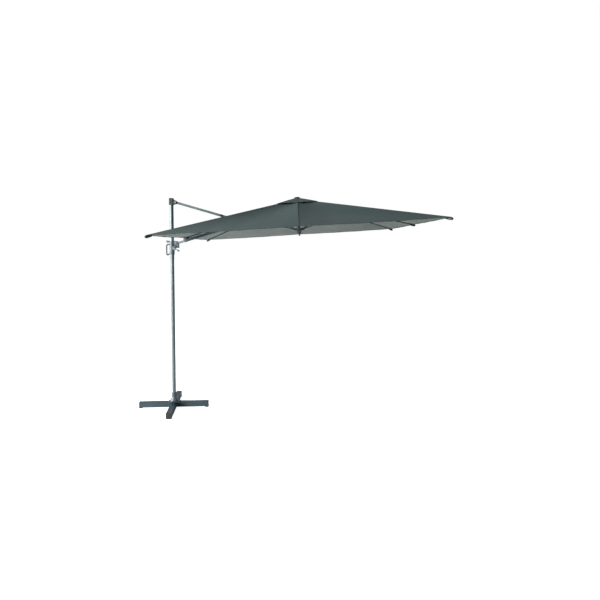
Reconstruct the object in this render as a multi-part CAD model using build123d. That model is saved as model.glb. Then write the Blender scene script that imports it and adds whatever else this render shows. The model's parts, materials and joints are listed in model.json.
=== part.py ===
"""Cantilever parasol: a cross base, a turning mast with a sliding carriage,
a folding arm and strut, and a square canopy.
Millimetres, +Z up, origin on the ground at the mast axis, +X from the mast towards the canopy."""

import math
import os

from build123d import *

os.makedirs("parts", exist_ok=True)

# ---- driving dimensions -------------------------------------------------
BASE_TURN = 6.5  # the cross base is set a little askew under the arm
BEAM_HALF = 458.0
BEAM_WIDE = 70.0
BEAM_Z0 = 12.0
BEAM_Z1 = 78.0
BEAM_WALL = 3.0
ANCHOR_R = 5.5
ANCHOR_AT = 400.0
PLATE_Z = 84.0
PLATE_R = 84.0
BOLT_AT = 71.0

MAST_R = 25.0
MAST_WALL = 1.8
MAST_Z0 = 92.6
MAST_TOP = 2700.0
CAP_TOP = 2786.0

PIN_R = 6.0
RUN = 0.06  # radial running clearance on a pin
P0 = (55.0, 2733.0)  # strut pivot on the mast cap
C0 = (55.0, 2215.0)  # arm pivot on the carriage
LINK = 1000.7  # strut length, and arm pivot to saddle pivot
REST = 15.0  # strut below the level, and saddle line above it
ARM_Z_AT_PIVOT = 2206.0  # height of the arm's centreline at the carriage pivot

CANOPY_X = 1655.0
CANOPY_Z = 2391.0
CANOPY_TILT = 4.35  # outer side up
HALF = 1500.0  # half the side of the square canopy
RISE = 409.0
CLOTH = 1.0
VENT_HALF = 250.0
VENT_UP = 16.0
RING_R = 55.0  # rib pivots round the hub
RING_W = 387.0
RIB_W = 16.0
RIB_H = 12.0
RIB_WALL = 1.5
STAY_DROP = 12.0
STAY_LEN = 640.0
CORNER_B = 627.0
STAY_W = 8.0
STAY_H = 10.0
SIDE_STAY_Y = 21.0  # the mast-side stay lies beside the arm
SMALL_R = 3.0  # rib and stay pins

ARM_HALF_W = 14.0
ARM_HALF_H = 17.0
STRUT_HALF = 15.0
PLATE_Y0 = 15.0
PLATE_Y1 = 21.0
SIDE_PLATE = 470.0
TUBE_SHORT = 400.0

TILT = math.radians(CANOPY_TILT)
TAN_EAVE = RISE / HALF
T22 = math.tan(math.radians(22.5))


# ---- helpers ------------------------------------------------------------
def block(x0, x1, y0, y1, z0, z1):
    return Pos((x0 + x1) / 2, (y0 + y1) / 2, (z0 + z1) / 2) * Box(x1 - x0, y1 - y0, z1 - z0)


def rod(start, end, radius):
    """A cylinder between two points."""
    a = Vector(*start)
    b = Vector(*end)
    plane = Plane(origin=a, z_dir=(b - a).normalized())
    return plane * Cylinder(radius, (b - a).length, align=(Align.CENTER, Align.CENTER, Align.MIN))


def rod_y(x, z, radius, y0, y1):
    return rod((x, y0, z), (x, y1, z), radius)


def tube_z(outer, inner, z0, z1):
    return rod((0, 0, z0), (0, 0, z1), outer) - rod((0, 0, z0 - 1), (0, 0, z1 + 1), inner)


def plate_xz(points, y0, y1):
    """A flat plate standing in the XZ plane."""
    plane = Plane(origin=(0, y1, 0), x_dir=(1, 0, 0), z_dir=(0, -1, 0))
    return extrude(plane * Polygon(*points, align=None), amount=y1 - y0, dir=(0, -1, 0))


def along(start, end):
    """A location whose +X runs from one point of the XZ plane to another."""
    slope = math.degrees(math.atan2(end[1] - start[1], end[0] - start[0]))
    return Location((start[0], 0, start[1]), (0, -slope, 0))


def hollow(x0, x1, half_w, half_h, wall):
    inside = block(x0 - 1, x1 + 1, -half_w + wall, half_w - wall, -half_h + wall, half_h - wall)
    return block(x0, x1, -half_w, half_w, -half_h, half_h) - inside


def save(name, shape):
    export_step(shape, "parts/" + name + ".step")


def world(u, w):
    """Canopy frame to the XZ plane."""
    x = CANOPY_X + u * math.cos(TILT) - w * math.sin(TILT)
    z = CANOPY_Z + u * math.sin(TILT) + w * math.cos(TILT)
    return (x, z)


canopy_frame = Location((CANOPY_X, 0, CANOPY_Z), (0, -CANOPY_TILT, 0))
J0 = (P0[0] + LINK * math.cos(math.radians(REST)), P0[1] - LINK * math.sin(math.radians(REST)))
H_U = 20.0
H_W = 330.0
H0 = world(H_U, H_W)
A0 = (C0[0], ARM_Z_AT_PIVOT)
arm_frame = along(A0, H0)
ARM_LEN = math.dist(A0, H0)
ARM_SLOPE = math.atan2(H0[1] - A0[1], H0[0] - A0[0])


def on_arm(point):
    """Distance along the arm's centreline and above it."""
    dx = point[0] - A0[0]
    dz = point[1] - A0[1]
    c = math.cos(ARM_SLOPE)
    s = math.sin(ARM_SLOPE)
    return (dx * c + dz * s, -dx * s + dz * c)


# ---- base ---------------------------------------------------------------
base_frame = Location((0, 0, 0), (0, 0, BASE_TURN))
beam = block(-BEAM_HALF + 6, BEAM_HALF - 6, -BEAM_WIDE / 2, BEAM_WIDE / 2, BEAM_Z0, BEAM_Z1)
beam -= block(
    -BEAM_HALF,
    BEAM_HALF,
    -BEAM_WIDE / 2 + BEAM_WALL,
    BEAM_WIDE / 2 - BEAM_WALL,
    BEAM_Z0 + BEAM_WALL,
    BEAM_Z1 - BEAM_WALL,
)
for z in (28.0, 62.0):
    for side in (-1, 1):
        edge = side * BEAM_WIDE / 2
        low_y, high_y = sorted((edge, edge - side))
        beam -= block(-BEAM_HALF, BEAM_HALF, low_y, high_y, z - 1.5, z + 1.5)
for x in (-ANCHOR_AT, ANCHOR_AT):
    beam -= rod((x, 0, 0), (x, 0, 100), ANCHOR_R)
for x in (-BOLT_AT, BOLT_AT):
    beam -= rod((x, 0, 60), (x, 0, 100), 5.4)
save("base_beam_long", base_frame * beam)

cross_half = beam & block(BEAM_WIDE / 2 + 0.2, BEAM_HALF, -50, 50, 0, 100)
cross = Rot(0, 0, 90) * cross_half + Rot(0, 0, -90) * cross_half
save("base_beam_cross", base_frame * cross)

foot = block(BEAM_HALF - 6, BEAM_HALF, -37, 37, 0, 80)
foot = fillet(foot.edges().filter_by(Axis.X), 4)
foot += block(BEAM_HALF - 44, BEAM_HALF - 5, -34, 34, 0, BEAM_Z0 - 0.1)
foot += block(BEAM_HALF - 20, BEAM_HALF - 5, -31.8, 31.8, BEAM_Z0 + 3.2, BEAM_Z1 - 3.2)
caps = foot
for turn in (90, 180, 270):
    caps += Rot(0, 0, turn) * foot
caps += rod((0, 0, 0), (0, 0, BEAM_Z0 - 0.1), 30)
save("beam_end_caps", base_frame * caps)

plate = rod((0, 0, BEAM_Z1), (0, 0, PLATE_Z), PLATE_R)
for turn in (0, 90, 180, 270):
    plate -= Rot(0, 0, turn) * rod((BOLT_AT, 0, 60), (BOLT_AT, 0, 100), 5.4)
PEDAL_Y = -100.0
PEDAL_Z = 104.0
for side in (-1, 1):
    low_x, high_x = sorted((side * 15, side * 20))
    ear = block(low_x, high_x, PEDAL_Y - 9, PEDAL_Y + 40, BEAM_Z1 + 0.2, PEDAL_Z + 8)
    ear -= block(-30, 30, PEDAL_Y + 12, PEDAL_Y + 60, PLATE_Z + 4, PEDAL_Z + 20)
    plate += ear
plate += rod((-23, PEDAL_Y, PEDAL_Z), (23, PEDAL_Y, PEDAL_Z), 4.0)
save("base_plate", base_frame * plate)

bolt = rod((BOLT_AT, 0, PLATE_Z - 12), (BOLT_AT, 0, PLATE_Z), 5.0)
bolt += Pos(BOLT_AT, 0, PLATE_Z) * extrude(RegularPolygon(8.5, 6), amount=6)
bolts = bolt
for turn in (90, 180, 270):
    bolts += Rot(0, 0, turn) * bolt
save("base_bolts", base_frame * bolts)

spigot = tube_z(40.0, 17.0, PLATE_Z, PLATE_Z + 8)
spigot += tube_z(MAST_R - MAST_WALL - RUN, 17.0, PLATE_Z, 300)
save("base_spigot", spigot)

cover_out = Pos(0, 0, PLATE_Z + 10) * Cone(59, 33, 52, align=(Align.CENTER, Align.CENTER, Align.MIN))
cover_out += rod((0, 0, PLATE_Z), (0, 0, PLATE_Z + 10), 59)
cover_in = Pos(0, 0, PLATE_Z + 9) * Cone(56, 30, 50, align=(Align.CENTER, Align.CENTER, Align.MIN))
cover_in += rod((0, 0, PLATE_Z - 1), (0, 0, PLATE_Z + 10), 56)
cover = cover_out - cover_in - rod((0, 0, 60), (0, 0, 200), MAST_R + 0.8)
save("foot_cover", cover)

tread = block(-14.4, 14.4, PEDAL_Y - 30, PEDAL_Y + 9, PEDAL_Z - 6, PEDAL_Z + 6)
tread += Location((0, PEDAL_Y - 26, PEDAL_Z), (-12, 0, 0)) * block(-22, 22, -62, 2, -2, 5)
for y in (-54.0, -42.0, -30.0, -18.0):
    tread += Location((0, PEDAL_Y - 26, PEDAL_Z), (-12, 0, 0)) * block(-18, 18, y, y + 4, 4.5, 6.5)
tread -= rod((-40, PEDAL_Y, PEDAL_Z), (40, PEDAL_Y, PEDAL_Z), 4.0 + RUN)
save("pedal", base_frame * tread)

# ---- mast ---------------------------------------------------------------
save("mast_tube", tube_z(MAST_R, MAST_R - MAST_WALL, MAST_Z0, MAST_TOP))

collar = tube_z(31.0, MAST_R + 0.02, 148, 204)
collar = chamfer(collar.edges().group_by(Axis.Z)[-1].sort_by(SortBy.LENGTH)[-1], 3)
collar += block(28, 44, -12, 12, 160, 192) - rod((0, 0, 100), (0, 0, 300), MAST_R + 1)
collar += rod((37, -17, 176), (37, 17, 176), 5)
save("mast_collar", collar)

cap = block(-28, 28, -26, 26, MAST_TOP, CAP_TOP)
cap = fillet(cap.edges().filter_by(Axis.Z), 7)
cap = chamfer(cap.edges().group_by(Axis.Z)[-1], 6)
cap -= rod((0, 0, MAST_TOP - 5), (0, 0, MAST_TOP + 60), 19)
for side in (-1, 1):
    y0 = min(side * (STRUT_HALF + 0.5), side * (STRUT_HALF + 7))
    y1 = max(side * (STRUT_HALF + 0.5), side * (STRUT_HALF + 7))
    cheek = plate_xz([(20, 2704), (60, 2712), (60, 2754), (20, 2774)], y0, y1)
    cheek += rod_y(P0[0], P0[1], 21, y0, y1)
    cap += cheek
cap -= rod_y(P0[0], P0[1], PIN_R + 0.02, -40, 40)
save("mast_top_cap", cap)


def pivot_bolt(point, half, head):
    """A pin through two cheeks, with a low head at each end."""
    pin = rod_y(point[0], point[1], PIN_R, -half, half)
    for side in (-1, 1):
        low_y, high_y = sorted((side * half, side * (half + 5)))
        pin += rod_y(point[0], point[1], head, low_y, high_y)
    return pin


save("strut_pin", pivot_bolt(P0, STRUT_HALF + 7.05, 10))

# ---- strut --------------------------------------------------------------
strut_frame = along(P0, J0)
eye = rod_y(0, 0, STRUT_HALF, -STRUT_HALF, STRUT_HALF) + block(0, 34, -STRUT_HALF, STRUT_HALF, -12, 12)
eye += block(30, 80, -STRUT_HALF + 2.2, STRUT_HALF - 2.2, -STRUT_HALF + 2.2, STRUT_HALF - 2.2)
eye -= rod_y(0, 0, PIN_R + RUN, -40, 40)
save("strut_eye", strut_frame * eye)

save("strut_tube", strut_frame * hollow(34.2, LINK - TUBE_SHORT, STRUT_HALF, STRUT_HALF, 2.0))

side_plate = block(LINK - SIDE_PLATE, LINK, PLATE_Y0, PLATE_Y1, -16, 16)
side_plate += rod_y(LINK, 0, 16, PLATE_Y0, PLATE_Y1)
side_plate -= rod_y(LINK, 0, PIN_R + RUN, -40, 40)
for x in (LINK - 450, LINK - 420):
    side_plate += rod_y(x, 0, 6, PLATE_Y1, PLATE_Y1 + 4)
save("strut_plate", strut_frame * side_plate)

# ---- arm ----------------------------------------------------------------
c_along, c_up = on_arm(C0)
KNUCKLE = (178.0 - A0[0]) / math.cos(ARM_SLOPE)
tail = rod_y(c_along, c_up, 15, -ARM_HALF_W, ARM_HALF_W)
tail += block(c_along, KNUCKLE - 10, -ARM_HALF_W, ARM_HALF_W, -14, 14)
tail = tail - block(-40, c_along - 0.01, -20, 20, -40, c_up - 15)
tail -= rod_y(KNUCKLE, 0, 22.1, -30, 30)
tail -= rod_y(c_along, c_up, PIN_R + RUN, -40, 40)
save("arm_tail", arm_frame * tail)

knuckle = rod_y(KNUCKLE, 0, 21, -18, 18)
knuckle -= block(KNUCKLE - 30, KNUCKLE + 30, -9.6, 9.6, 17.5, 40)
for side in (-1, 1):
    y0 = min(side * 9.6, side * 14)
    y1 = max(side * 9.6, side * 14)
    ear = [(KNUCKLE - 18, 8), (KNUCKLE + 18, 8), (KNUCKLE + 12, 34), (KNUCKLE - 14, 34)]
    knuckle += plate_xz(ear, y0, y1)
knuckle += rod_y(KNUCKLE, 0, 9, -22, 22)
save("rib_bracket", arm_frame * knuckle)

tube = hollow(KNUCKLE + 16, ARM_LEN - 44, ARM_HALF_W, ARM_HALF_H, 2.2)
tube -= rod_y(KNUCKLE, 0, 22.1, -30, 30)
save("arm_tube", arm_frame * tube)

head = rod_y(ARM_LEN, 0, 16, -ARM_HALF_W, ARM_HALF_W)
head += block(ARM_LEN - 43.8, ARM_LEN, -ARM_HALF_W, ARM_HALF_W, -14, 14)
head += block(ARM_LEN - 90, ARM_LEN - 40, -11.6, 11.6, -14.6, 14.6)
head -= rod_y(ARM_LEN, 0, PIN_R + RUN, -40, 40)
save("arm_head", arm_frame * head)

j_along, j_up = on_arm(J0)
saddle_points = [
    (j_along - 46, -ARM_HALF_H),
    (j_along + 46, -ARM_HALF_H),
    (j_along + 15, j_up - 2),
    (j_along - 15, j_up - 2),
]
saddle = plate_xz(saddle_points, -ARM_HALF_W, ARM_HALF_W)
saddle += rod_y(j_along, j_up, 15.5, -ARM_HALF_W, ARM_HALF_W)
saddle -= rod_y(j_along, j_up, PIN_R + 0.02, -40, 40)
save("saddle_bracket", arm_frame * saddle)

saddle_pin = rod_y(j_along, j_up, PIN_R, -ARM_HALF_W, PLATE_Y1 + 0.5)
saddle_pin += rod_y(j_along, j_up, 10, PLATE_Y1 + 0.5, PLATE_Y1 + 5.5)
save("saddle_pin", arm_frame * saddle_pin)

# ---- carriage -----------------------------------------------------------
SLEEVE_Z0 = 2062.0
SLEEVE_Z1 = 2240.0
KNOB_Z = 2229.0
sleeve = tube_z(31.5, 26.2, SLEEVE_Z0, SLEEVE_Z1)
boss = rod((-28, 0, KNOB_Z), (-46, 0, KNOB_Z), 10) - rod((0, 0, 2200), (0, 0, 2260), 30)
sleeve += boss
sleeve -= rod((-33, 0, KNOB_Z), (-60, 0, KNOB_Z), 5 + RUN)
save("carriage_sleeve", sleeve)

liner = tube_z(26.15, MAST_R + 0.4, SLEEVE_Z0, SLEEVE_Z0 + 26)
liner += tube_z(26.15, MAST_R + 0.4, SLEEVE_Z1 - 26, SLEEVE_Z1)
save("carriage_liners", liner)

bracket = block(20, 90, -20, 20, 2150, 2157) + block(83, 90, -20, 20, 2150, 2192)
for side in (-1, 1):
    y0 = min(side * 14.5, side * 20)
    y1 = max(side * 14.5, side * 20)
    bracket += plate_xz([(20, 2150), (90, 2150), (90, 2196), (72, 2237), (46, 2240), (20, 2240)], y0, y1)
bracket -= rod((0, 0, 2000), (0, 0, 2300), 31.55)
bracket -= rod_y(C0[0], C0[1], PIN_R + 0.02, -40, 40)
save("arm_bracket", bracket)

save("arm_pin", pivot_bolt(C0, 20.05, 10))

loop_line = Polyline((-31, 2192), (-58, 2192), (-71, 2178), (-71, 2066), (-60, 2054), (-31, 2072))
loop_path = Plane.XZ * fillet(loop_line.vertices().sort_by(Axis.X)[0:4], 9)
loop_start = Plane(origin=(-31, 0, 2192), z_dir=(-1, 0, 0))
loop = sweep(loop_start * Circle(8), path=loop_path)
loop -= rod((0, 0, 2000), (0, 0, 2300), 31.55)
save("loop_handle", loop)

CRANK = (38.0, 2146.0)
housing = block(10, 58, -52, -21, 2122, 2170)
housing = fillet(housing.edges().filter_by(Axis.Y), 8)
housing -= rod((0, 0, 2000), (0, 0, 2300), 31.55)
housing -= block(0, 100, -20.4, 0, 2140, 2250)
housing -= rod_y(CRANK[0], CRANK[1], 6 + RUN, -60, -36)
save("crank_housing", housing)

CRANK_END = (104.0, 2114.0)
crank_frame = along(CRANK, CRANK_END)
reach = math.dist(CRANK, CRANK_END)
crank = rod_y(0, 0, 6, -55, -38) + rod_y(0, 0, 11, -64, -54)
crank += block(0, reach, -63, -56, -7, 7)
crank += rod_y(reach, 0, 8, -63, -56)
crank += rod_y(reach, 0, 4, -108, -60)
crank += rod_y(reach, 0, 6, -111, -107.6)
save("crank", crank_frame * crank)

grip = rod_y(reach, 0, 10, -107, -64) - rod_y(reach, 0, 4 + RUN, -120, -50)
grip = fillet(grip.edges().filter_by(GeomType.CIRCLE).sort_by(SortBy.RADIUS)[-2:], 3)
save("crank_grip", crank_frame * grip)

knob = rod((-36, 0, KNOB_Z), (-50, 0, KNOB_Z), 5) + rod((-49, 0, KNOB_Z), (-56, 0, KNOB_Z), 11)
lobe = rod((-56, 0, KNOB_Z), (-74, 0, KNOB_Z), 17)
for turn in range(6):
    a = math.radians(60 * turn + 30)
    ny = 21 * math.cos(a)
    nz = KNOB_Z + 21 * math.sin(a)
    lobe -= rod((-50, ny, nz), (-80, ny, nz), 6)
knob += lobe
save("lock_knob", knob)

# ---- hub ----------------------------------------------------------------
hub = rod((0, 0, 370), (0, 0, 402), 76)
for turn in range(8):
    slot = block(40, 90, -RIB_W / 2 - 0.4, RIB_W / 2 + 0.4, 360, 396.5)
    pin_hole = rod((RING_R, -14, RING_W), (RING_R, 14, RING_W), SMALL_R + 0.02)
    hub -= Rot(0, 0, 45 * turn) * (slot + pin_hole)
for side in (-1, 1):
    y0 = min(side * 14.5, side * 21)
    y1 = max(side * 14.5, side * 21)
    cheek = plate_xz([(-16, 371), (44, 371), (37, H_W), (3, H_W)], y0, y1)
    hub += cheek - block(39.9, 60, -9, 9, 300, 400)
    hub += rod_y(H_U, H_W, 17, y0, y1)
hub -= rod_y(H_U, H_W, PIN_R + 0.02, -40, 40)
save("top_hub", canopy_frame * hub)

pins = rod((RING_R, -13.8, RING_W), (RING_R, 13.8, RING_W), SMALL_R)
ring_pins = pins
for turn in range(1, 8):
    ring_pins += Rot(0, 0, 45 * turn) * pins
save("hub_pins", canopy_frame * ring_pins)

save("tilt_pin", pivot_bolt(H0, 21.05, 9))

finial = rod((0, 0, 402), (0, 0, 412), 14) + rod((0, 0, 409.5), (0, 0, 414), 46)
finial += Pos(0, 0, 413.9) * Cone(46, 40, 14, align=(Align.CENTER, Align.CENTER, Align.MIN))
finial += Pos(0, 0, 427.8) * Cone(40, 24, 10, align=(Align.CENTER, Align.CENTER, Align.MIN))
finial = fillet(finial.edges().filter_by(GeomType.CIRCLE).sort_by(Axis.Z)[-1], 4)
save("finial", canopy_frame * finial)


# ---- ribs and stays -----------------------------------------------------
def rib_slope(corner):
    reach_r = HALF * math.sqrt(2) if corner else HALF
    drop = RING_W + (8.3 if corner else 6.8)
    return math.atan2(drop, reach_r - RING_R)


def rib_length(corner):
    reach_r = HALF * math.sqrt(2) if corner else HALF
    drop = RING_W + (8.3 if corner else 6.8)
    return math.hypot(drop, reach_r - RING_R)


def stay_joint(corner):
    """Where the stay's pin is, along the rib and from the hub axis."""
    b = CORNER_B if corner else STAY_LEN
    a = math.sqrt(b * b - STAY_DROP * STAY_DROP)
    s = rib_slope(corner)
    r = RING_R + a * math.cos(s) - STAY_DROP * math.sin(s)
    w = RING_W - a * math.sin(s) - STAY_DROP * math.cos(s)
    return a, r, w


RUNNER_DROP = 2 * STAY_LEN * math.sin(rib_slope(False) + math.asin(STAY_DROP / STAY_LEN))
RUNNER_W = RING_W - RUNNER_DROP


def make_rib(corner, mast_side):
    length = rib_length(corner)
    a = stay_joint(corner)[0]
    rib = hollow(14, length - 18, RIB_W / 2, RIB_H / 2, RIB_WALL)
    rib += block(0, 18, -RIB_W / 2, RIB_W / 2, -RIB_H / 2, RIB_H / 2)
    rib += rod_y(0, 0, 8, -RIB_W / 2, RIB_W / 2)
    tip = block(length - 20, length + 8, -9, 9, -7.5, 5.9)
    rib += fillet(tip.edges().filter_by(Axis.Z).sort_by(Axis.X)[-2:], 5)
    for side in (-1, 1):
        y0 = min(side * (STAY_W / 2 + 0.4), side * RIB_W / 2)
        y1 = max(side * (STAY_W / 2 + 0.4), side * RIB_W / 2)
        rib += plate_xz([(a - 16, -5.9), (a + 16, -5.9), (a + 7, -STAY_DROP), (a - 7, -STAY_DROP)], y0, y1)
        rib += rod_y(a, -STAY_DROP, 7, y0, y1)
    pin_end = SIDE_STAY_Y + STAY_W / 2 + 3 if mast_side else RIB_W / 2 + 2
    rib += rod_y(a, -STAY_DROP, SMALL_R, -RIB_W / 2 - 2, pin_end)
    rib -= rod_y(0, 0, SMALL_R + RUN, -20, 20)
    place = Location((RING_R, 0, RING_W), (0, math.degrees(rib_slope(corner)), 0))
    return place * rib


def make_stay(corner, mast_side):
    _, r, w = stay_joint(corner)
    long = math.hypot(r - RING_R, w - RUNNER_W)
    y = SIDE_STAY_Y if mast_side else 0.0
    stay = block(0, long, y - STAY_W / 2, y + STAY_W / 2, -STAY_H / 2, STAY_H / 2)
    stay += rod_y(0, 0, 5.6, y - STAY_W / 2, y + STAY_W / 2)
    stay += rod_y(long, 0, 5.6, y - STAY_W / 2, y + STAY_W / 2)
    stay -= rod_y(0, 0, SMALL_R + RUN, y - 9, y + 9) + rod_y(long, 0, SMALL_R + RUN, y - 9, y + 9)
    return along((r, w), (RING_R, RUNNER_W)) * stay


for n in range(8):
    corner = n % 2 == 1
    turned = canopy_frame * Location((0, 0, 0), (0, 0, 45 * n))
    save("rib_" + str(n + 1), turned * make_rib(corner, n == 4))
    save("stay_" + str(n + 1), turned * make_stay(corner, n == 4))

# ---- runner -------------------------------------------------------------
runner = rod((0, 0, RUNNER_W - 13), (0, 0, RUNNER_W + 13), 70)
runner += Pos(0, 0, RUNNER_W - 40) * Cone(22, 40, 28, align=(Align.CENTER, Align.CENTER, Align.MIN))
runner += rod((0, 0, RUNNER_W - 58), (0, 0, RUNNER_W - 39), 22)
runner = fillet(runner.edges().filter_by(GeomType.CIRCLE).sort_by(Axis.Z)[0], 8)
for n in range(8):
    inner = 44.0
    y = SIDE_STAY_Y if n == 4 else 0.0
    if n % 2 == 1:
        inner = 34.0
    slot = block(inner, 90, y - STAY_W / 2 - 0.5, y + STAY_W / 2 + 0.5, RUNNER_W - 20, RUNNER_W + 20)
    runner -= Rot(0, 0, 45 * n) * slot
    if n % 2 == 0:
        pin = rod_y(RING_R, RUNNER_W, SMALL_R, y - 12, y + 12)
        runner += Rot(0, 0, 45 * n) * pin
save("runner", canopy_frame * runner)


# ---- canopy cloth -------------------------------------------------------
def pyramid(apex):
    """A four-sided pyramid with the canopy's slope."""
    half = HALF + 100
    low = apex - TAN_EAVE * half
    top = Vector(0, 0, apex)
    signs = [(1, 1), (-1, 1), (-1, -1), (1, -1)]
    c = [Vector(a * half, b * half, low) for a, b in signs]
    faces = [Face(Wire.make_polygon([c[i], c[(i + 1) % 4], top])) for i in range(4)]
    faces.append(Face(Wire.make_polygon([c[3], c[2], c[1], c[0]])))
    return Solid(Shell(faces))


def cloth(points, apex, thick):
    """The slice of the canopy's skin over a plan outline."""
    column = extrude(Pos(0, 0, -60) * Polygon(*points, align=None), amount=560)
    return (column & Part() + pyramid(apex + thick)) - pyramid(apex)


GAP = 0.6
HOLE = 85.0


def mid_points(inner, outer):
    near, far = inner * T22 - GAP, outer * T22 - GAP
    return [(inner, -near), (outer, -far), (outer, far), (inner, near)]


def corner_points(inner, outer):
    return [
        (inner, inner * T22 + GAP),
        (outer, outer * T22 + GAP),
        (outer, outer),
        (outer * T22 + GAP, outer),
        (inner * T22 + GAP, inner),
        (inner, inner),
    ]


centre = rod((0, 0, 300), (0, 0, 500), 47.5)
mid_main = cloth(mid_points(HOLE, HALF), RISE, CLOTH)
corner_main = cloth(corner_points(HOLE, HALF), RISE, CLOTH)
mid_vent = cloth(mid_points(30, VENT_HALF), RISE + VENT_UP, CLOTH) - centre
corner_vent = cloth(corner_points(30, VENT_HALF), RISE + VENT_UP, CLOTH) - centre
strut_slot = block(700, 900, -42, 42, 0, 500)
for n in range(8):
    if n % 2 == 0:
        main = mid_main - strut_slot if n == 4 else mid_main
        panel = Rot(0, 0, 45 * n) * (main + mid_vent)
    else:
        panel = Rot(0, 0, 45 * (n - 1)) * (corner_main + corner_vent)
    save("canopy_panel_" + str(n + 1), canopy_frame * panel)
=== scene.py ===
import json
import math

import bmesh
import bpy
from mathutils import Matrix, Vector


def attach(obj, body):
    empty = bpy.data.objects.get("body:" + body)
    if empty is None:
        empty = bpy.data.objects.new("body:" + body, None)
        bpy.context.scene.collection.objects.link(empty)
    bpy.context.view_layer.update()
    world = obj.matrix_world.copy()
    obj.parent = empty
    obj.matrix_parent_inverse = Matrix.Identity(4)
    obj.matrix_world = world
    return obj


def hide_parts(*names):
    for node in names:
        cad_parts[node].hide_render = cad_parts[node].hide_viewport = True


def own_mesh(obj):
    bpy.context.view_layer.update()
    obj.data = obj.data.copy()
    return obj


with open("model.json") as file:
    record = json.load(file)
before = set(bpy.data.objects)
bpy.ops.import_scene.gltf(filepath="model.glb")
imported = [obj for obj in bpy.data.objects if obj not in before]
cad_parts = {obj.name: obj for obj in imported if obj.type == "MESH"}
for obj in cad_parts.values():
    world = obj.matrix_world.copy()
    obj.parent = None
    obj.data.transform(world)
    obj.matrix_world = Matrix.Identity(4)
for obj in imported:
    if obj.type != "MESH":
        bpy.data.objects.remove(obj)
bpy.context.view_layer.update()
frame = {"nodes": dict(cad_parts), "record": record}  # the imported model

# ---- canopy frame, in metres -------------------------------------------
CENTRE = Vector((1.655, 0.0, 2.391))
TILT = math.radians(4.35)
HALF = 1.5  # half the side of the square canopy
RISE = 0.409  # height of the cloth's apex over its edge
RAKE = RISE / HALF
RING_R = 0.055  # radius of the ring of rib pins
RING_W = 0.387  # height of that ring
HOLE = 0.085  # half side of the opening under the vent
VENT_HALF = 0.25  # half side of the vent flap
VENT_IN = 0.049  # half side of the flap's own opening, round the finial
VENT_UP = 0.016  # gap between the flap and the cloth below it
CLOTH_THICK = 0.0012
EDGE_SAG, EDGE_DRAW = 0.034, 0.016
SLOT_IN, SLOT_OUT, SLOT_HALF = 0.70, 0.90, 0.042  # the strut's slot in the mast-side gore
SLOT_GORE = 4
ROWS, COLS = 60, 24
VENT_ROWS, VENT_COLS = 14, 10
T22 = math.tan(math.radians(22.5))
EX = Vector((math.cos(TILT), 0.0, math.sin(TILT)))
EY = Vector((0.0, 1.0, 0.0))
EZ = Vector((-math.sin(TILT), 0.0, math.cos(TILT)))


def canopy(u, v, w):
    return CENTRE + EX * u + EY * v + EZ * w


# ---- materials ----------------------------------------------------------
def new_material(name):
    m = bpy.data.materials.new(name)
    m.use_nodes = True
    tree = m.node_tree
    return m, tree, tree.nodes["Principled BSDF"]


def noise(tree, source, scale, detail=3.0, stretch=(1, 1, 1)):
    mapping = tree.nodes.new("ShaderNodeMapping")
    mapping.inputs["Scale"].default_value = stretch
    tex = tree.nodes.new("ShaderNodeTexNoise")
    tex.inputs["Scale"].default_value = scale
    tex.inputs["Detail"].default_value = detail
    tree.links.new(source, mapping.inputs["Vector"])
    tree.links.new(mapping.outputs[0], tex.inputs["Vector"])
    return tex.outputs["Fac"]


def ramp(tree, fac, low_colour, high_colour, start=0.35, end=0.65):
    node = tree.nodes.new("ShaderNodeValToRGB")
    node.color_ramp.elements[0].position = start
    node.color_ramp.elements[0].color = (*low_colour, 1)
    node.color_ramp.elements[1].position = end
    node.color_ramp.elements[1].color = (*high_colour, 1)
    tree.links.new(fac, node.inputs["Fac"])
    return node.outputs["Color"]


def scaled(tree, fac, low_value, high_value):
    node = tree.nodes.new("ShaderNodeMapRange")
    node.inputs["To Min"].default_value = low_value
    node.inputs["To Max"].default_value = high_value
    tree.links.new(fac, node.inputs["Value"])
    return node.outputs["Result"]


def bump(tree, height, strength, distance, normal=None):
    node = tree.nodes.new("ShaderNodeBump")
    node.inputs["Strength"].default_value = strength
    node.inputs["Distance"].default_value = distance
    tree.links.new(height, node.inputs["Height"])
    if normal is not None:
        tree.links.new(normal, node.inputs["Normal"])
    return node.outputs["Normal"]


def rounded(tree, radius):
    node = tree.nodes.new("ShaderNodeBevel")
    node.samples = 4
    node.inputs["Radius"].default_value = radius
    return node.outputs["Normal"]


def shade(colour, factor):
    return tuple(min(1.0, c * factor) for c in colour)


def metal(name, colour, roughness, metallic, stretch=(1, 1, 1), grain=90.0, edge=0.0012):
    """Drawn or painted tube: fine grain along the stretch, soft blotches, rounded edges."""
    m, tree, bsdf = new_material(name)
    source = tree.nodes.new("ShaderNodeTexCoord").outputs["Object"]
    blotch = noise(tree, source, 7.0, 4.0)
    fine = noise(tree, source, grain, 5.0, stretch)
    bsdf.inputs["Metallic"].default_value = metallic
    tone = ramp(tree, blotch, shade(colour, 0.9), shade(colour, 1.08))
    tree.links.new(tone, bsdf.inputs["Base Color"])
    tree.links.new(scaled(tree, fine, roughness * 0.78, roughness * 1.25), bsdf.inputs["Roughness"])
    tree.links.new(bump(tree, fine, 0.06, 0.0006, rounded(tree, edge)), bsdf.inputs["Normal"])
    return m


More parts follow.
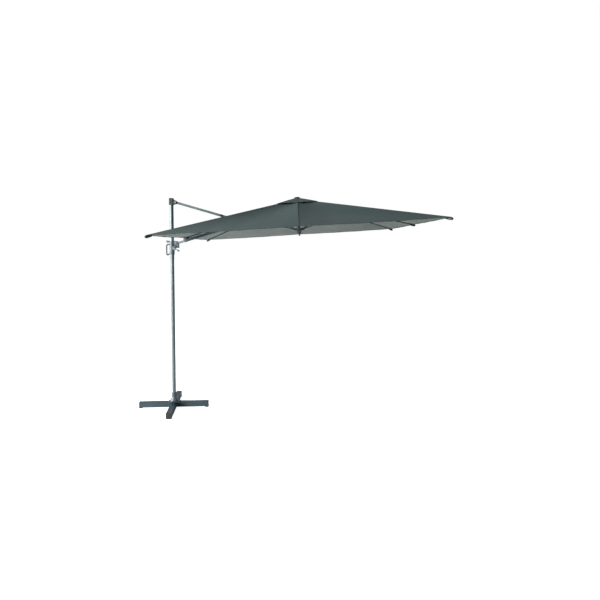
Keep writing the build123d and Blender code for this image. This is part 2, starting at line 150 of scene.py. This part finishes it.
def plastic(name, colour, roughness, grain=420.0, edge=0.0015):
    """Moulded plastic with a fine leather-like grain."""
    m, tree, bsdf = new_material(name)
    source = tree.nodes.new("ShaderNodeTexCoord").outputs["Object"]
    blotch = noise(tree, source, 12.0, 3.0)
    fine = noise(tree, source, grain, 2.0)
    tone = ramp(tree, blotch, shade(colour, 0.85), shade(colour, 1.2))
    gloss = scaled(tree, blotch, roughness * 0.85, roughness * 1.15)
    tree.links.new(tone, bsdf.inputs["Base Color"])
    tree.links.new(gloss, bsdf.inputs["Roughness"])
    tree.links.new(bump(tree, fine, 0.25, 0.0004, rounded(tree, edge)), bsdf.inputs["Normal"])
    return m


def cloth(name, colour, roughness=0.85, sheen=0.04, weave=150.0):
    """Woven polyester: crossing threads, slubs, faint sun fading and soft tension creases.

    The first two cloth coordinates are in metres, so the weave keeps its scale on every piece.
    """
    m, tree, bsdf = new_material(name)
    uv = tree.nodes.new("ShaderNodeTexCoord").outputs["UV"]
    place = tree.nodes.new("ShaderNodeTexCoord").outputs["Object"]
    threads = []
    for direction in ("X", "Y"):
        wave = tree.nodes.new("ShaderNodeTexWave")
        wave.bands_direction = direction
        wave.inputs["Scale"].default_value = weave
        wave.inputs["Distortion"].default_value = 0.6
        wave.inputs["Detail"].default_value = 1.0
        tree.links.new(uv, wave.inputs["Vector"])
        threads.append(wave.outputs["Fac"])
    both = tree.nodes.new("ShaderNodeMath")
    both.operation = "MULTIPLY"
    tree.links.new(threads[0], both.inputs[0])
    tree.links.new(threads[1], both.inputs[1])
    fade = noise(tree, place, 1.6, 4.0)
    slub = noise(tree, uv, 60.0, 4.0, (1, 9, 1))
    creases = noise(tree, uv, 5.0, 3.0, (4, 0.7, 1))
    base = ramp(tree, fade, shade(colour, 0.93), shade(colour, 1.07))
    yarn = ramp(tree, slub, (0.86, 0.86, 0.86), (1.1, 1.1, 1.1))
    mix = tree.nodes.new("ShaderNodeMix")
    mix.data_type = "RGBA"
    mix.blend_type = "MULTIPLY"
    mix.inputs["Factor"].default_value = 1.0
    tree.links.new(base, mix.inputs[6])
    tree.links.new(yarn, mix.inputs[7])
    tree.links.new(mix.outputs[2], bsdf.inputs["Base Color"])
    bsdf.inputs["Roughness"].default_value = roughness
    bsdf.inputs["Sheen Weight"].default_value = sheen
    bsdf.inputs["Sheen Roughness"].default_value = 0.5
    bsdf.inputs["Specular IOR Level"].default_value = 0.2
    coarse = bump(tree, creases, 0.35, 0.006)
    tree.links.new(bump(tree, both.outputs[0], 0.25, 0.0005, coarse), bsdf.inputs["Normal"])
    return m


def node_math(tree, operation, a, b):
    node = tree.nodes.new("ShaderNodeMath")
    node.operation = operation
    for socket, value in zip(node.inputs, (a, b)):
        if isinstance(value, (int, float)):
            socket.default_value = value
        else:
            tree.links.new(value, socket)
    return node.outputs[0]


def stitched(name, colour, thread, row_at=0.0075, pitch=0.005):
    """Woven tape with two rows of stitches: the first cloth coordinate runs across the tape."""
    m = cloth(name, colour, weave=220.0)
    tree = m.node_tree
    bsdf = tree.nodes["Principled BSDF"]
    split = tree.nodes.new("ShaderNodeSeparateXYZ")
    tree.links.new(tree.nodes.new("ShaderNodeTexCoord").outputs["UV"], split.inputs[0])
    side = node_math(tree, "ABSOLUTE", split.outputs["X"], 0.0)
    off_row = node_math(tree, "ABSOLUTE", node_math(tree, "SUBTRACT", side, row_at), 0.0)
    on_row = node_math(tree, "LESS_THAN", off_row, 0.0007)
    beat = node_math(tree, "FRACT", node_math(tree, "DIVIDE", split.outputs["Y"], pitch), 0.0)
    stitch = node_math(tree, "MULTIPLY", on_row, node_math(tree, "LESS_THAN", beat, 0.62))
    plain = bsdf.inputs["Base Color"].links[0].from_socket
    mix = tree.nodes.new("ShaderNodeMix")
    mix.data_type = "RGBA"
    mix.inputs[7].default_value = (*thread, 1)
    tree.links.new(stitch, mix.inputs["Factor"])
    tree.links.new(plain, mix.inputs[6])
    tree.links.new(mix.outputs[2], bsdf.inputs["Base Color"])
    weave_normal = bsdf.inputs["Normal"].links[0].from_socket
    tree.links.new(bump(tree, stitch, 0.6, 0.0006, weave_normal), bsdf.inputs["Normal"])
    return m


ALONG_Z = (9, 9, 0.04)
M = {
    "base_steel": metal("base_steel_paint", (0.038, 0.064, 0.078), 0.46, 0.25, grain=160),
    "black_plastic": plastic("black_moulding", (0.016, 0.019, 0.021), 0.5),
    "bright_bolt": metal("zinc_bolt", (0.72, 0.74, 0.74), 0.25, 0.95, grain=200, edge=0.0006),
    "cover_plastic": plastic("foot_cover_plastic", (0.10, 0.125, 0.145), 0.4),
    "mast_silver": metal("anodised_mast", (0.155, 0.188, 0.200), 0.52, 0.8, ALONG_Z, 60),
    "collar_blue": metal("collar_cast", (0.085, 0.115, 0.135), 0.48, 0.5, grain=240),
    "cap_dark": plastic("cap_moulding", (0.011, 0.017, 0.019), 0.5),
    "knob_grey": plastic("knob_moulding", (0.22, 0.27, 0.29), 0.42),
    "strut_grey": metal("strut_tube_paint", (0.110, 0.145, 0.145), 0.48, 0.6, (0.05, 8, 8), 60),
    # Lit and shaded copies of one arm: arm_silver is made light to paint the light on the stretch outside
    # the canopy, and arm_dark is made dark to paint the shade under it (painted light and painted shade).
    "arm_dark": metal("arm_painted_shade", (0.060, 0.086, 0.102), 0.42, 0.45, (0.05, 8, 8), 60),
    "arm_silver": metal("arm_painted_light", (0.22, 0.26, 0.27), 0.45, 0.85, grain=120),
    "carriage_grey": metal("carriage_cast", (0.095, 0.118, 0.130), 0.52, 0.45, grain=240),
    "liner_white": plastic("liner_nylon", (0.62, 0.62, 0.60), 0.5),
    "hub_dark": plastic("hub_moulding", (0.030, 0.037, 0.042), 0.45),
    "rib_dark": metal("rib_paint", (0.042, 0.054, 0.062), 0.4, 0.4, grain=150, edge=0.0008),
    "stay_grey": metal("stay_paint", (0.055, 0.070, 0.078), 0.4, 0.45, grain=150, edge=0.0008),
}
CLOTH_TOP = cloth("canopy_cloth_top", (0.035, 0.063, 0.063))
# Painted light: the underside is the same cloth as the top, given a far lighter colour to stand in for the
# light that reaches it from below.
CLOTH_UNDER_PAINTED_LIGHT = cloth("canopy_cloth_under_painted_light", (0.200, 0.230, 0.215), sheen=0.03)
BINDING = stitched("canopy_binding", (0.033, 0.058, 0.058), (0.060, 0.092, 0.092))

SLOT_OF = {s["node"]: s["material_slot"] for s in frame["record"]["subparts"]}
for node, obj in frame["nodes"].items():
    if SLOT_OF[node] in M:
        obj.data.materials.clear()
        obj.data.materials.append(M[SLOT_OF[node]])


# ---- mesh helpers -------------------------------------------------------
def finish_mesh(name, bm, mats, body, angle=40):
    bmesh.ops.recalc_face_normals(bm, faces=bm.faces)
    limit = math.radians(angle)
    for face in bm.faces:
        face.smooth = True
    for edge in bm.edges:
        if len(edge.link_faces) != 2 or edge.calc_face_angle(0.0) > limit:
            edge.smooth = False
    mesh = bpy.data.meshes.new(name)
    bm.to_mesh(mesh)
    bm.free()
    for m in mats:
        mesh.materials.append(m)
    obj = bpy.data.objects.new(name, mesh)
    bpy.context.scene.collection.objects.link(obj)
    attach(obj, body)
    return obj


def slab(bm, rows, thick, uvs, skip=None, under=1):
    """A closed sheet from a grid of points, its underside lower by thick in the canopy frame."""
    uv_layer = bm.loops.layers.uv.verify()
    high_v = [[bm.verts.new(p) for p in row] for row in rows]
    low_v = [[bm.verts.new(p - EZ * thick) for p in row] for row in rows]
    solid = {}
    for i in range(len(rows) - 1):
        for j in range(len(rows[0]) - 1):
            solid[i, j] = not (skip and skip(i, j))

    def quad(verts, keys, index):
        face = bm.faces.new(verts)
        face.material_index = index
        for loop, key in zip(face.loops, keys):
            loop[uv_layer].uv = uvs[key[0]][key[1]]

    for (i, j), there in solid.items():
        if not there:
            continue
        k = j + 1
        corners = [(i, j), (i, k), (i + 1, k), (i + 1, j)]
        quad([high_v[a][b] for a, b in corners], corners, 0)
        corners = corners[::-1]
        quad([low_v[a][b] for a, b in corners], corners, under)
        sides = [
            ((i, j), (i, k), (i - 1, j)),
            ((i + 1, k), (i + 1, j), (i + 1, j)),
            ((i + 1, j), (i, j), (i, j - 1)),
            ((i, k), (i + 1, k), (i, k)),
        ]
        for a, b, beyond in sides:
            if not solid.get(beyond, False):
                upper = [high_v[a[0]][a[1]], high_v[b[0]][b[1]]]
                lower = [low_v[b[0]][b[1]], low_v[a[0]][a[1]]]
                quad(upper + lower, [a, b, b, a], 0)
    loose = [v for v in bm.verts if not v.link_faces]
    bmesh.ops.delete(bm, geom=loose, context="VERTS")


# ---- the cloth's shape --------------------------------------------------
def ring_point(n, rho, s):
    """Plan point on the square of half side rho, in gore n, with s from -1 to 1 across it."""
    turn = math.radians(45 * (n - n % 2))
    if n % 2 == 0:
        u, v = rho, s * rho * T22
    else:
        t = 1.0 - abs(s) * (1.0 - T22)
        u, v = (rho, rho * t) if s < 0 else (rho * t, rho)
    c, k = math.cos(turn), math.sin(turn)
    return u * c - v * k, u * k + v * c


def across(u, v):
    """0 over a mid rib and 1 over a corner rib."""
    a, b = abs(u), abs(v)
    return min(a, b) / max(a, b, 1e-9)


def swell(x):
    """Sag across half a facet, with a crease along each rib."""
    return 4.0 * x * (1.0 - x)


def flat_swell(x):
    """The same sag, but level beside the rib, where the folded stay lies against the cloth."""
    t = min(1.0, 2.0 * x)
    return (t * t * (3.0 - 2.0 * t)) ** 1.5 if x < 0.5 else swell(x)


def cloth_height(u, v):
    """The cloth's height over the plane of its edge, with its sag and faint tension pulls."""
    rho = max(abs(u), abs(v))
    x = across(u, v)
    share = min(1.0, max(0.0, (rho - HOLE) / (HALF - HOLE)))
    depth = EDGE_SAG * math.sin(math.pi * min(1.0, share**0.85 * 0.93)) + 0.002
    pull = 0.0011 * math.sin(26.0 * x + 9.0 * rho) * math.sin(math.pi * x) * share
    mast_side = u < 0 and abs(u) >= abs(v)
    sag = flat_swell(x) if mast_side else swell(x)
    return RISE - RAKE * rho - depth * sag + pull


def cloth_plan(u, v, outer):
    """Draws the edge in a little between the rib ends."""
    rho = max(abs(u), abs(v))
    x = across(u, v)
    inset = EDGE_DRAW * 4.0 * x * (1.0 - x) * (rho / outer) ** 5 * (outer / HALF)
    k = 1.0 - inset / max(rho, 1e-6)
    return u * k, v * k


def surface(u, v):
    """A point on top of the main cloth."""
    a, b = cloth_plan(u, v, HALF)
    return canopy(a, b, cloth_height(a, b) + CLOTH_THICK)


def vent_surface(u, v):
    """A point on top of the vent flap, which droops towards the main cloth at its edge."""
    rho = max(abs(u), abs(v))
    x = across(u, v)
    a, b = cloth_plan(u, v, VENT_HALF)
    share = min(1.0, max(0.0, (rho - 0.05) / (VENT_HALF - 0.05)))
    wave = 0.5 + 0.5 * math.cos(6.0 * math.pi * x)
    gape = -0.0105 * share**1.5 + 0.0045 * wave * share**3 * math.sin(math.pi * x)
    collar = 0.0022 * (1.0 - share) ** 2
    return canopy(a, b, RISE - RAKE * rho + VENT_UP + CLOTH_THICK + gape + collar)


def tangent(n):
    a = math.radians(45 * n)
    return EX * -math.sin(a) + EY * math.cos(a)


def outward(n):
    a = math.radians(45 * n)
    return EX * math.cos(a) + EY * math.sin(a)


def soft(obj):
    """Gives a piece of cloth its own copy of its mesh."""
    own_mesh(obj)


def gore_rows(n, inner, outer, place, rows_n, cols_n, slotted=False):
    """Points and cloth coordinates of one gore, from the hub outwards."""
    points, uvs = [], []
    rhos = [inner + (outer - inner) * i / rows_n for i in range(rows_n + 1)]
    if slotted:
        clear = [r for r in rhos if min(abs(r - SLOT_IN), abs(r - SLOT_OUT)) > 0.008]
        rhos = sorted(clear + [SLOT_IN, SLOT_OUT])
    for rho in rhos:
        row, uv = [], []
        for j in range(-cols_n, cols_n + 1):
            s = j / cols_n
            if slotted:
                half = rho * T22
                edge = min(SLOT_HALF, half / 3)
                inside = cols_n // 4
                a = abs(j)
                if a <= inside:
                    d = edge * a / inside
                else:
                    d = edge + (half - edge) * (a - inside) / (cols_n - inside)
                s = math.copysign(d / half, j) if j else 0.0
            u, v = ring_point(n, rho, s)
            row.append(place(u, v))
            side = s * rho * (T22 if n % 2 == 0 else (1 - T22) * 1.3)
            uv.append((side, rho * 1.04))
        points.append(row)
        uvs.append(uv)
    return points, uvs, rhos


def welt(name, n, inner, outer, place, half_wide, height, slot_gap=False):
    """A stitched tape over a rib: a low ridge that follows the cloth."""
    a = math.radians(45 * n)
    stretch = math.sqrt(2) if n % 2 else 1.0
    bm = bmesh.new()
    spans = [(inner, outer)]
    if slot_gap:
        spans = [(inner, SLOT_IN - 0.004), (SLOT_OUT + 0.004, outer)]
    for first, last in spans:
        steps = max(8, int((last - first) / 0.02))
        rows, uvs = [], []
        for i in range(steps + 1):
            r = (first + (last - first) * i / steps) * stretch
            row, uv = [], []
            for k in range(-4, 5):
                side = half_wide * k / 4
                u = r * math.cos(a) - side * math.sin(a)
                v = r * math.sin(a) + side * math.cos(a)
                crown = height * (1 - (k / 4) ** 4) + 0.0004
                row.append(place(u, v) + EZ * crown)
                uv.append((side, r))
            rows.append(row)
            uvs.append(uv)
        slab(bm, rows, 0.0011, uvs, under=0)
    return finish_mesh(name, bm, [BINDING], "rib_" + str(n + 1), 60)


def hem(name, n, outer, place, deep, thick, body):
    """The folded edge of a gore: a flat tube of cloth that wraps the edge."""
    count, around = 2 * COLS, 12
    proud = 0.0015
    rows, uvs = [], []
    profile = []
    for k in range(around):
        t = 2 * math.pi * k / around
        profile.append((deep / 2 * (math.cos(t) - 1.0) + proud, thick / 2 * math.sin(t)))
    for j in range(count + 1):
        s = -1 + 2 * j / count
        u, v = ring_point(n, outer, s)
        u2, v2 = ring_point(n, outer - 0.01, s)
        edge = place(u, v)
        inward = (place(u2, v2) - edge).normalized()
        row, uv = [], []
        for back, rise in profile:
            row.append(edge - inward * back + EZ * (rise - 0.0006))
            uv.append((back - proud + deep / 2, s * outer * T22))
        rows.append(row)
        uvs.append(uv)
    bm = bmesh.new()
    uv_layer = bm.loops.layers.uv.verify()
    verts = [[bm.verts.new(p) for p in row] for row in rows]
    for i in range(count):
        for k in range(around):
            m = (k + 1) % around
            keys = [(i, k), (i, m), (i + 1, m), (i + 1, k)]
            face = bm.faces.new([verts[a][b] for a, b in keys])
            for loop, (a, b) in zip(face.loops, keys):
                loop[uv_layer].uv = uvs[a][b]
    bm.faces.new(verts[0])
    bm.faces.new(verts[-1][::-1])
    return finish_mesh(name, bm, [BINDING], body, 60)


def slot_edge(n):
    """A rolled binding round the strut's slot in gore n."""
    corners = [(SLOT_IN, -1), (SLOT_IN, 1), (SLOT_OUT, 1), (SLOT_OUT, -1)]
    loop = []
    sides = zip(corners, corners[1:] + corners[:1], (12, 20, 12, 20))
    for (rho_a, side_a), (rho_b, side_b), count in sides:
        for i in range(count):
            t = i / count
            rho = rho_a + (rho_b - rho_a) * t
            s = (side_a + (side_b - side_a) * t) * SLOT_HALF / (rho * T22)
            loop.append(surface(*ring_point(n, rho, s)))
    bm = bmesh.new()
    rings = []
    for i, p in enumerate(loop):
        ahead = (loop[(i + 1) % len(loop)] - loop[i - 1]).normalized()
        flat = ahead.cross(EZ).normalized()
        ring = []
        for k in range(10):
            t = 2 * math.pi * k / 10
            lift = EZ * (0.0020 * math.sin(t) - 0.0005)
            ring.append(bm.verts.new(p + flat * 0.005 * math.cos(t) + lift))
        rings.append(ring)
    for i in range(len(rings)):
        a, b = rings[i], rings[(i + 1) % len(rings)]
        for k in range(10):
            m = (k + 1) % 10
            bm.faces.new([a[k], a[m], b[m], b[k]])
    return finish_mesh("strut_slot_binding", bm, [BINDING], "rib_" + str(n + 1), 60)


def in_slot(rhos, i, j):
    """Whether cell (i, j) of the mast-side gore lies in the strut's slot."""
    inside = COLS // 4
    middle = (rhos[i] + rhos[i + 1]) / 2
    return SLOT_IN < middle < SLOT_OUT and COLS - inside <= j < COLS + inside


def build_gore(n):
    """One gore with its vent sector, seam tapes and hems, all carried by rib n + 1."""
    tag = str(n + 1)
    body = "rib_" + tag
    slotted = n == SLOT_GORE
    rows, uvs, rhos = gore_rows(n, HOLE, HALF, surface, ROWS, COLS, slotted)
    bm = bmesh.new()
    slab(bm, rows, CLOTH_THICK, uvs, (lambda i, j: in_slot(rhos, i, j)) if slotted else None)
    cloth_mats = [CLOTH_TOP, CLOTH_UNDER_PAINTED_LIGHT]
    gore = finish_mesh("canopy_gore_" + tag, bm, cloth_mats, body)
    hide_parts("canopy_panel_" + tag)
    vent_rows, vent_uvs, _ = gore_rows(n, VENT_IN, VENT_HALF, vent_surface, VENT_ROWS, VENT_COLS)
    bm = bmesh.new()
    slab(bm, vent_rows, CLOTH_THICK, vent_uvs)
    vent = finish_mesh("vent_gore_" + tag, bm, cloth_mats, body)
    seam = welt("seam_tape_" + tag, n, 0.1, HALF - 0.004, surface, 0.011, 0.0012, slotted)
    vent_seam = welt("vent_tape_" + tag, n, 0.052, VENT_HALF - 0.003, vent_surface, 0.010, 0.0012)
    edge = hem("edge_hem_" + tag, n, HALF, surface, 0.024, 0.0042, body)
    vent_edge = hem("vent_hem_" + tag, n, VENT_HALF, vent_surface, 0.014, 0.0036, body)
    trims = [seam, edge] + ([slot_edge(n)] if slotted else [])
    for piece in [gore, vent, vent_seam, vent_edge] + trims:
        soft(piece)


for gore_index in range(8):
    build_gore(gore_index)


# ---- rib end sockets ----------------------------------------------------
def rounded_bar(bm, frame_at, sections):
    """A closed bar through (distance, half width, half height, centre height) sections."""
    rings = []
    around, squareness = 20, 0.55
    for along, half_w, half_h, centre in sections:
        ring = []
        for k in range(around):
            t = 2 * math.pi * k / around
            c, s = math.cos(t), math.sin(t)
            y = half_w * math.copysign(abs(c) ** squareness, c)
            z = half_h * math.copysign(abs(s) ** squareness, s)
            ring.append(bm.verts.new(frame_at(along, y, z + centre)))
        rings.append(ring)
    for a, b in zip(rings, rings[1:]):
        for k in range(around):
            m = (k + 1) % around
            bm.faces.new([a[k], a[m], b[m], b[k]])
    bm.faces.new(rings[0][::-1])
    bm.faces.new(rings[-1])


def rib_frame(n):
    """Start, direction, side and up vectors of rib n + 1, and its length."""
    corner = n % 2 == 1
    far = HALF * math.sqrt(2) if corner else HALF
    drop = RING_W + (0.0083 if corner else 0.0068)
    slope = math.atan2(drop, far - RING_R)
    out = outward(n) * math.cos(slope) - EZ * math.sin(slope)
    up = outward(n) * math.sin(slope) + EZ * math.cos(slope)
    start = canopy(0, 0, RING_W) + outward(n) * RING_R
    return start, out, tangent(n), up, math.hypot(drop, far - RING_R)


def build_rib_end(n):
    """The moulded socket that closes rib n + 1 and holds the cloth's corner, with two rivets."""
    start, out, side, up, length = rib_frame(n)
    body = "rib_" + str(n + 1)

    def at(along, y, z):
        return start + out * along + side * y + up * z

    deep = 1.08 if n % 2 else 1.0
    tip = [
        (length - 0.068, 0.0088, 0.0068, -0.0012),
        (length - 0.063, 0.0112, 0.0105 * deep, -0.0048 * deep),
        (length - 0.030, 0.0128, 0.0125 * deep, -0.0068 * deep),
        (length - 0.004, 0.0138, 0.0128 * deep, -0.0070 * deep),
        (length + 0.007, 0.0125, 0.0108 * deep, -0.0060 * deep),
        (length + 0.012, 0.0080, 0.0065, -0.0050),
    ]
    bm = bmesh.new()
    rounded_bar(bm, at, tip)
    finish_mesh("rib_end_" + str(n + 1), bm, [M["black_plastic"]], body, 50)
    bm = bmesh.new()
    lie = up.to_track_quat("Z", "Y").to_matrix().to_4x4()
    for along in (length - 0.052, length - 0.035):
        bmesh.ops.create_cone(
            bm,
            cap_ends=True,
            segments=16,
            radius1=0.0022,
            radius2=0.0035,
            depth=0.0022,
            matrix=Matrix.Translation(at(along, 0, -0.0188 * deep)) @ lie,
        )
    finish_mesh("rib_rivets_" + str(n + 1), bm, [M["bright_bolt"]], body)


for rib_index in range(8):
    build_rib_end(rib_index)


# ---- camera, floor and light -------------------------------------------
EYE = (1.687, -6.058, 2.194)
YAW, PITCH, ROLL = 0.0007, -0.1153, 0.0173
SENSOR, FOCAL = 36.0, 27.66
flat_ahead = Vector((-math.sin(YAW), math.cos(YAW), 0.0))
forward = flat_ahead * math.cos(PITCH) + Vector((0.0, 0.0, math.sin(PITCH)))
right = Vector((math.cos(YAW), math.sin(YAW), 0.0))
top = right.cross(forward)
x_axis = right * math.cos(ROLL) + top * math.sin(ROLL)
y_axis = top * math.cos(ROLL) - right * math.sin(ROLL)
turn = Matrix((x_axis, y_axis, -forward)).transposed().to_4x4()
data = bpy.data.cameras.new("camera")
data.sensor_width = SENSOR
data.lens = FOCAL
camera = bpy.data.objects.new("camera", data)
camera.matrix_world = Matrix.Translation(EYE) @ turn
bpy.context.scene.collection.objects.link(camera)
bpy.context.scene.camera = camera

floor_mesh = bpy.data.meshes.new("floor")
FLOOR_HALF, FLOOR_Z = 60.0, -0.001
floor_corners = [(x * FLOOR_HALF, y * FLOOR_HALF, FLOOR_Z) for x, y in ((-1, -1), (1, -1), (1, 1), (-1, 1))]
floor_mesh.from_pydata(floor_corners, [], [(0, 1, 2, 3)])
floor = bpy.data.objects.new("floor", floor_mesh)
bpy.context.scene.collection.objects.link(floor)
floor_mat, floor_tree, floor_bsdf = new_material("floor_paint")
floor_bsdf.inputs["Base Color"].default_value = (0.9, 0.9, 0.9, 1)
floor_bsdf.inputs["Roughness"].default_value = 0.9
floor_bsdf.inputs["Emission Color"].default_value = (1.0, 1.0, 1.0, 1)
seen = floor_tree.nodes.new("ShaderNodeLightPath").outputs["Is Camera Ray"]
glow = node_math(floor_tree, "MULTIPLY", seen, 0.90)
floor_tree.links.new(glow, floor_bsdf.inputs["Emission Strength"])
floor_mesh.materials.append(floor_mat)

LIGHT_SIDE, DARK_SIDE = 0.54, 0.11  # strength of the sky's light from -X and from +X
world = bpy.data.worlds.new("studio")
world.use_nodes = True
sky = world.node_tree
ambient = sky.nodes["Background"]
direction = sky.nodes.new("ShaderNodeSeparateXYZ")
sky.links.new(sky.nodes.new("ShaderNodeTexCoord").outputs["Generated"], direction.inputs[0])
wash = sky.nodes.new("ShaderNodeMapRange")
wash.inputs["From Min"].default_value = -0.75
wash.inputs["From Max"].default_value = 0.65
wash.inputs["To Min"].default_value = LIGHT_SIDE
wash.inputs["To Max"].default_value = DARK_SIDE
sky.links.new(direction.outputs["X"], wash.inputs["Value"])
sky.links.new(wash.outputs["Result"], ambient.inputs["Strength"])
ambient.inputs["Color"].default_value = (0.97, 1.0, 1.0, 1)
backdrop = sky.nodes.new("ShaderNodeBackground")
backdrop.inputs["Color"].default_value = (1.0, 1.0, 1.0, 1)
choice = sky.nodes.new("ShaderNodeMixShader")
sky.links.new(sky.nodes.new("ShaderNodeLightPath").outputs["Is Camera Ray"], choice.inputs["Fac"])
sky.links.new(ambient.outputs[0], choice.inputs[1])
sky.links.new(backdrop.outputs[0], choice.inputs[2])
sky.links.new(choice.outputs[0], sky.nodes["World Output"].inputs["Surface"])
bpy.context.scene.world = world
bpy.context.scene.view_settings.view_transform = "Standard"


def area_light(name, place, aim, size, power, colour=(1, 1, 1)):
    light = bpy.data.lights.new(name, "AREA")
    light.shape = "DISK"
    light.size = size
    light.energy = power
    light.color = colour
    obj = bpy.data.objects.new(name, light)
    obj.location = place
    towards = Vector(aim) - Vector(place)
    obj.rotation_euler = towards.to_track_quat("-Z", "Y").to_euler()
    bpy.context.scene.collection.objects.link(obj)


area_light("key", (-5.0, -3.0, 3.5), (1.5, 0, 2.0), 5.0, 1150)
area_light("back", (4.0, 7.0, 4.5), (1.5, 0, 1.8), 4.0, 60)
